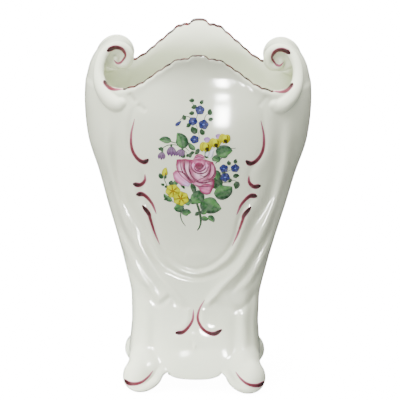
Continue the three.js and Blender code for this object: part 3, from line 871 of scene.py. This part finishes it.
# darker leaves that fill the gaps round the rose
for a, b, wide in (
    ((13, 179.5), (19, 172.5), 2.3), ((12.6, 175), (16.4, 169), 1.8), ((7.4, 196.4), (8.6, 201.6), 1.5),
    ((11.6, 194.6), (16.4, 196.8), 1.5), ((-9.4, 196.8), (-12.6, 202), 1.5),
    ((-5.6, 196.6), (-4.2, 201.2), 1.1), ((-4.4, 175), (-2.4, 166), 1.6),
    ((-12.6, 174.4), (-9.6, 170), 1.0), ((-16.8, 176.4), (-19.4, 172.6), 1.1),
    ((-10.4, 164), (-6.4, 159.4), 1.5), ((0.8, 204.4), (-1.8, 199.6), 1.3),
):
    leaf(a, b, wide, 0.1, 0, MOSS)

# blue five-petalled flowers
BLUE, BRIGHT_BLUE, PALE = (8, 14, 52), (26, 40, 108), (112, 136, 212)
for x, z, r, turn in (
    (1.6, 235.2, 3.7, 0.3), (-3.7, 226.4, 3.5, 0.9), (4.5, 223.9, 4.0, 0.1), (-2.2, 211.8, 3.5, 0.6),
    (20.5, 187.9, 3.5, 0.5), (29.2, 187.9, 3.5, 0.2), (21.6, 180.4, 3.9, 1.0),
):
    blossom(blues, at(x, z), r, BLUE, BRIGHT_BLUE, PALE, turn)
petal(blues, (-17, 222.4), (-12.6, 226.4), 1.3, tone(BLUE, BRIGHT_BLUE), 0, 2)

# violet bellflowers
VIOLET, PALE_VIOLET = (70, 42, 74), (118, 90, 124)
for x, z, tall, wide, lean in (
    (-27.2, 197.6, 7.2, 2.3, 0.1), (-19.8, 201.6, 8.8, 2.9, -0.05), (-12.6, 200.6, 6.6, 2.8, 0.35),
):
    top, foot = at(x + lean * tall * 0.5, z + tall / 2), at(x - lean * tall * 0.5, z - tall / 2)
    for spread in (-0.62, 0.0, 0.62):
        end = foot + at(spread * wide * 1.25, abs(spread) * 0.9)
        shade = tone(VIOLET, PALE_VIOLET, (86, 52, 94))
        petal(bells, top, end, wide * 0.5, shade, spread * 0.16, 3 if spread == 0 else 2, 1.35)
    petal(leaves, top + at(0, 1.6), top - at(0, 1.2), 0.8, tone(DEEP_GREEN, MOSS), 0, 4)

# yellow flowers
YELLOW, DULL_YELLOW, OCHRE, OLIVE = (192, 196, 0), (138, 130, 0), (116, 86, 0), (40, 38, 0)
for x, z, r, turn, count in ((-18.4, 168.2, 5.2, 0.2, 6), (-12.2, 162.2, 5.6, 0.7, 6)):
    heart = at(x, z)
    blossom(yellows, heart, r * 1.12, DULL_YELLOW, YELLOW, OCHRE, turn, count, 3)
    for k in range(count):
        way = round_about(turn + math.pi * (2 * k + 1) / count) * r
        petal(yellows, heart + way * 0.12, heart + way * 0.62, r * 0.07, tone(OCHRE, (120, 64, 0)), 0, 6)
petal(yellows, (-24.6, 180.4), (-23.6, 188), 2.2, tone(DULL_YELLOW, YELLOW), 0.08, 3)
petal(yellows, (-24.4, 180.8), (-23.9, 184), 0.5, tone(OCHRE, (130, 80, 0)), 0, 5)
petal(leaves, (-24.4, 178.4), (-24, 182), 1.0, tone(DEEP_GREEN, MOSS), 0, 6)
for x, z, wide, tall, lean in (
    (6, 205.6, 4.2, 9, 0.1), (12.8, 208.8, 4.2, 8.4, 0.25), (20, 212.2, 4.2, 8.4, 0.3),
):
    for spread in (-0.55, 0.55, 0.0):
        top, foot = (x + lean * 4, z + tall * 0.42), (x + spread * wide, z - tall * 0.42)
        shade = tone((148, 140, 0), (198, 204, 0), (158, 150, 0))
        petal(yellows, top, foot, wide * 0.66, shade, spread * 0.2, 5 if spread == 0 else 4)
    petal(yellows, (x + 0.4, z - 0.2), (x + 2, z - 3.8), 1.4, tone((84, 78, 0), OLIVE), 0.1, 7)
    petal(yellows, (x + lean * 5 + 1.2, z + 2.8), (x + 2.8, z - 2.2), 0.4, tone(OLIVE, OCHRE), 0.1, 7)
lilac = tone((110, 72, 132), (176, 140, 192), (150, 112, 170))
for x, z, wide, tall in ((7.6, 211.6, 2.6, 4.6), (16.2, 214.4, 2.3, 4.2)):
    petal(bells, (x - 0.6, z - tall / 2), (x + 0.4, z + tall / 2), wide, lilac, 0, 3, 1.2)

# white flower turning away behind the rose
white = tone((140, 144, 160), (222, 226, 230))
petal(bells, (9.4, 196.6), (12.8, 204), 2.2, white, 0.1, 2)
petal(bells, (6.6, 198.2), (8.6, 203.4), 1.6, white, -0.1, 2)

# rose: outer petals first, then the cup, its heart and the dark brush lines
ROSE, DEEP_ROSE, LINE, MILK = (150, 62, 98), (116, 30, 64), (70, 20, 44), (206, 178, 226)
LINE_PROFILE = np.array([1, 1.15, 1])


def rose_tone(tip, middle, foot, streaks=0.3):
    """Dark at the tip and the borders of a petal, pale along its middle, with thin streaks."""
    def colour(u, v):
        c = mix(middle, tip, 0.85 * smoothstep(np.abs(v), 0.35, 1.0))
        c = mix(c, foot, smoothstep(u, 0.55, 1.0))
        c = mix(c, tip, 0.9 * (1 - smoothstep(u, 0.02, 0.28)))
        return mix(c, tip, streaks * smoothstep(np.sin(v * 8 + u * 2.5), 0.3, 1.0))
    return colour


for left_line, right_line, level, colours in (
    (
        [(-18.7, 183.4), (-17.4, 178), (-13, 174), (-6.6, 172.2)],
        [(-16.4, 186), (-11.8, 184.8), (-7.6, 181), (-3.8, 176)],
        3, (ROSE, (226, 150, 196), MILK),
    ),
    (
        [(-15.8, 195), (-16, 188), (-12.6, 181.5), (-5.6, 175)],
        [(-8.8, 195.8), (-8, 188), (-6.6, 181), (-3.6, 175.4)],
        4, (DEEP_ROSE, (232, 184, 208), ROSE),
    ),
    (
        [(-11, 195.8), (-11, 188.5), (-8.4, 181.5), (-4, 175.4)],
        [(-2.8, 195), (-2.4, 188), (-1.8, 181.5), (-1, 176)],
        5, (DEEP_ROSE, (236, 194, 214), ROSE),
    ),
    (
        [(5.6, 195.8), (7, 189), (6.4, 182), (1.6, 176)],
        [(12.2, 193.2), (14.6, 187), (13.4, 180), (6.6, 175)],
        4, (DEEP_ROSE, (218, 150, 180), ROSE),
    ),
    (
        [(13.6, 178.4), (8.6, 180), (3.4, 179.4), (-2.6, 179)],
        [(13.2, 171.4), (8.4, 169.6), (2.6, 170.6), (-3.8, 175.6)],
        4, (DEEP_ROSE, (226, 170, 196), (208, 132, 166)),
    ),
    (
        [(13.2, 172.8), (9, 175), (5, 174.6), (1.4, 172.6)],
        [(10.4, 166.4), (7.2, 165.6), (3.8, 167.4), (1, 171.4)],
        5, (DEEP_ROSE, (210, 118, 164), ROSE),
    ),
    (
        [(-4.8, 194), (-5.4, 187.5), (-3.4, 181), (2, 176.8)],
        [(9.8, 193.6), (10.6, 187), (9, 181), (4, 176.8)],
        7, (ROSE, (236, 192, 214), (206, 128, 164)),
    ),
    (
        [(-3.2, 195.6), (-2.6, 192.6), (-0.4, 189.4), (1.6, 188)],
        [(6.4, 195.6), (6.4, 192), (5, 189.4), (2.6, 188)],
        10, (ROSE, (220, 144, 184), DEEP_ROSE),
    ),
):
    patch(rose, left_line, right_line, rose_tone(*colours), level)
petal(rose, (-4.4, 190.4), (8.6, 190.4), 5.6, tone((206, 110, 164), (230, 164, 206), sharp=0.3), 0, 8, 1.0)
petal(rose, (-2.4, 196), (5.8, 196.6), 2.3, tone(DEEP_ROSE, (214, 130, 176), sharp=0.2), 0.14, 10, 1.0)
petal(rose, (-2, 190), (5.4, 190), 3.4, tone(ROSE, DEEP_ROSE, sharp=0.2), 0, 11, 1.0)


def line_colour(u, v):
    return mix(LINE, ROSE, np.abs(v) * 0.7)


# dark lines where the petals turn over
for line, wide in (
    ([(-4.6, 193.4), (-3.8, 187.4), (1, 183.8), (6.6, 185), (9, 190.4)], 0.5),
    ([(-2.6, 191.8), (-1.4, 187.2), (2.4, 185.8), (6, 187.8), (6.4, 191.8)], 0.42),
    ([(-0.6, 190.8), (1, 188.2), (3.6, 188.8), (3.6, 191.4), (1.2, 192.2)], 0.45),
    ([(-5.4, 194.8), (-6, 187.4), (-3.4, 180.6), (2, 177)], 0.5),
    ([(9.6, 194), (10.2, 187.4), (6.8, 181.4), (0.6, 178)], 0.5),
    ([(-9.8, 195.4), (-9.4, 187.4), (-6.4, 180.6), (-3, 176.6)], 0.42),
    ([(-13, 194), (-11.8, 186.6), (-7.8, 180.4), (-4.4, 176.4)], 0.36),
    ([(-17, 185.6), (-11.6, 184.6), (-7.4, 181), (-4.2, 176.6)], 0.42),
    ([(-2.8, 178.4), (4, 175.8), (12.6, 177.6)], 0.5),
    ([(-1, 173.6), (5, 172.6), (12.4, 173.4)], 0.42),
    ([(13, 191.6), (13.6, 184.8), (10.6, 179.6), (4.4, 177)], 0.4),
    ([(-3, 196.2), (1.4, 197.8), (6.2, 196.4)], 0.4),
    ([(2, 182.4), (5.6, 181.4), (8.6, 183.6)], 0.3),
):
    rose.ribbon(line, [0.08, *wide * LINE_PROFILE, 0.08], line_colour, FRONT, 12, 6, 5)

for film in (
    strokes[FRONT], strokes[BACK], curls, toes, rim_paint, stems, leaves, blues, bells, yellows, rose,
):
    film.done()

# -------- materials


def glaze_material():
    """Tin glaze: glossy off-white with a faint cloudy change of tint."""
    m, nodes, links, bsdf = new_material("tin_glaze")
    where = nodes.new("ShaderNodeTexCoord")
    cloud = nodes.new("ShaderNodeTexNoise")
    cloud.inputs["Scale"].default_value = 28
    cloud.inputs["Detail"].default_value = 3
    links.new(where.outputs["Object"], cloud.inputs["Vector"])
    tint = nodes.new("ShaderNodeValToRGB")
    tint.color_ramp.elements[0].position = 0.3
    tint.color_ramp.elements[0].color = (0.72, 0.76, 0.585, 1)
    tint.color_ramp.elements[1].position = 0.7
    tint.color_ramp.elements[1].color = (0.76, 0.795, 0.625, 1)
    links.new(cloud.outputs["Fac"], tint.inputs["Fac"])
    links.new(tint.outputs["Color"], bsdf.inputs["Base Color"])
    bsdf.inputs["Roughness"].default_value = 0.12
    bsdf.inputs["IOR"].default_value = 1.52
    return m


glaze = glaze_material()
for node, piece in ware.items():
    piece.data.materials.clear()
    piece.data.materials.append(glaze)
    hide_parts(node)
    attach(piece, "root")

# -------- floor, light and camera

# Metres from here on.
FLOOR_SIZE, BACKDROP_RADIUS, BACKDROP_HEIGHT = 9, 4.4, 5


def pale_material():
    """The same white in every view, whatever the lamps are."""
    m, nodes, links, bsdf = new_material("pale_floor")
    bsdf.inputs["Base Color"].default_value = (0.9, 0.9, 0.9, 1)
    bsdf.inputs["Roughness"].default_value = 0.9
    bsdf.inputs["Emission Color"].default_value = (1, 1, 1, 1)
    bsdf.inputs["Emission Strength"].default_value = 14
    return m


bpy.ops.mesh.primitive_plane_add(size=FLOOR_SIZE, location=(0, 0, 0))
floor = bpy.context.object
floor.name = "floor"
bpy.ops.mesh.primitive_cylinder_add(
    radius=BACKDROP_RADIUS, depth=BACKDROP_HEIGHT, end_fill_type="NOTHING", vertices=64,
    location=(0, 0, BACKDROP_HEIGHT / 2 - 0.01),
)
backdrop = bpy.context.object
backdrop.name = "backdrop"
pale = pale_material()
for piece in (floor, backdrop):
    piece.data.materials.append(pale)
    piece.visible_diffuse = False
    piece.visible_glossy = False
    piece.visible_shadow = False


def studio_world():
    """White light from all round, with a strength that goes from the floor over the horizon to the top."""
    world = bpy.data.worlds.new("studio")
    world.use_nodes = True
    nodes, links = world.node_tree.nodes, world.node_tree.links
    way = nodes.new("ShaderNodeTexCoord")
    split = nodes.new("ShaderNodeSeparateXYZ")
    height = nodes.new("ShaderNodeMapRange")
    height.inputs["From Min"].default_value = -1
    height.inputs["From Max"].default_value = 1
    strength = nodes.new("ShaderNodeValToRGB")
    stops = strength.color_ramp.elements
    stops.new(0.5)
    for stop, value in zip(stops, (0.25, 0.08, 1.0)):
        stop.color = (value, value, value, 1)
    links.new(way.outputs["Generated"], split.inputs["Vector"])
    links.new(split.outputs["Z"], height.inputs["Value"])
    links.new(height.outputs["Result"], strength.inputs["Fac"])
    links.new(strength.outputs["Color"], nodes["Background"].inputs["Strength"])
    nodes["Background"].inputs["Color"].default_value = (1, 1, 1, 1)
    return world


bpy.context.scene.world = studio_world()


def lamp(name, kind, place, target, power):
    """A lamp turned to a target. Neither the camera nor the gloss shows it."""
    light = bpy.data.lights.new(name, kind)
    light.energy = power
    obj = bpy.data.objects.new(name, light)
    bpy.context.scene.collection.objects.link(obj)
    obj.location = place
    obj.rotation_euler = (Vector(target) - Vector(place)).to_track_quat("-Z", "Y").to_euler()
    obj.visible_camera = False
    obj.visible_glossy = False
    return obj


MIDDLE = (0, 0, 0.15)
for name, place, size, power in (
    ("key", (-0.9, -1.1, 1.7), 0.9, 56),
    ("top", (0, -0.03, 1.9), 0.9, 98),
    ("left", (-1.7, -0.2, 0.5), 0.9, 13),
    ("right", (1.7, -0.2, 0.5), 0.9, 8),
    ("fill", (-0.3, -1.8, 0.25), 0.9, 9),
    ("bounce", (-0.3, -0.7, 0.02), 0.5, 4),
    ("behind", (0.3, 1.8, 0.7), 0.9, 14),
):
    lamp(name, "AREA", place, MIDDLE, power).data.size = size

# a narrow beam on the foot and the lower left of the front
low = lamp("low", "SPOT", (-0.58, -0.66, 0.012), (-0.016, 0, 0.006), 85)
low.data.spot_size = math.radians(13)
low.data.spot_blend = 1.0
low.data.shadow_soft_size = 0.08

# a window, seen only as a reflection in the body
window = lamp("window", "AREA", (0.095, -0.52, 0.134), (0.01, -0.05, 0.245), 6.5)
window.data.shape = "RECTANGLE"
window.data.size = 0.058
window.data.size_y = 0.146
window.visible_diffuse = False
window.visible_glossy = True
window_side = bpy.data.collections.new("window_side")
window_side.objects.link(ware["body"])
window.light_linking.receiver_collection = window_side

# The photo's view: straight from the front, from above the rim, with the vase leaning a little.
ELEVATION, ROLL = math.radians(16.92), math.radians(0.8)
DISTANCE, FOCAL_PX, SENSOR_MM = 2.603, 3313.4, 36
TARGET = Vector((0.0026, 0, 0.1473))
cam = bpy.data.cameras.new("camera")
camera = bpy.data.objects.new("camera", cam)
bpy.context.scene.collection.objects.link(camera)
bpy.context.scene.camera = camera
back = Vector((0, -math.cos(ELEVATION), math.sin(ELEVATION)))
camera.location = TARGET + DISTANCE * back
facing = back.to_track_quat("Z", "Y").to_matrix()
camera.rotation_euler = (facing @ Matrix.Rotation(ROLL, 3, "Z")).to_euler()
cam.sensor_width = SENSOR_MM
cam.lens = FOCAL_PX * SENSOR_MM / PHOTO_PX
cam.clip_start = 0.01
cam.clip_end = 50
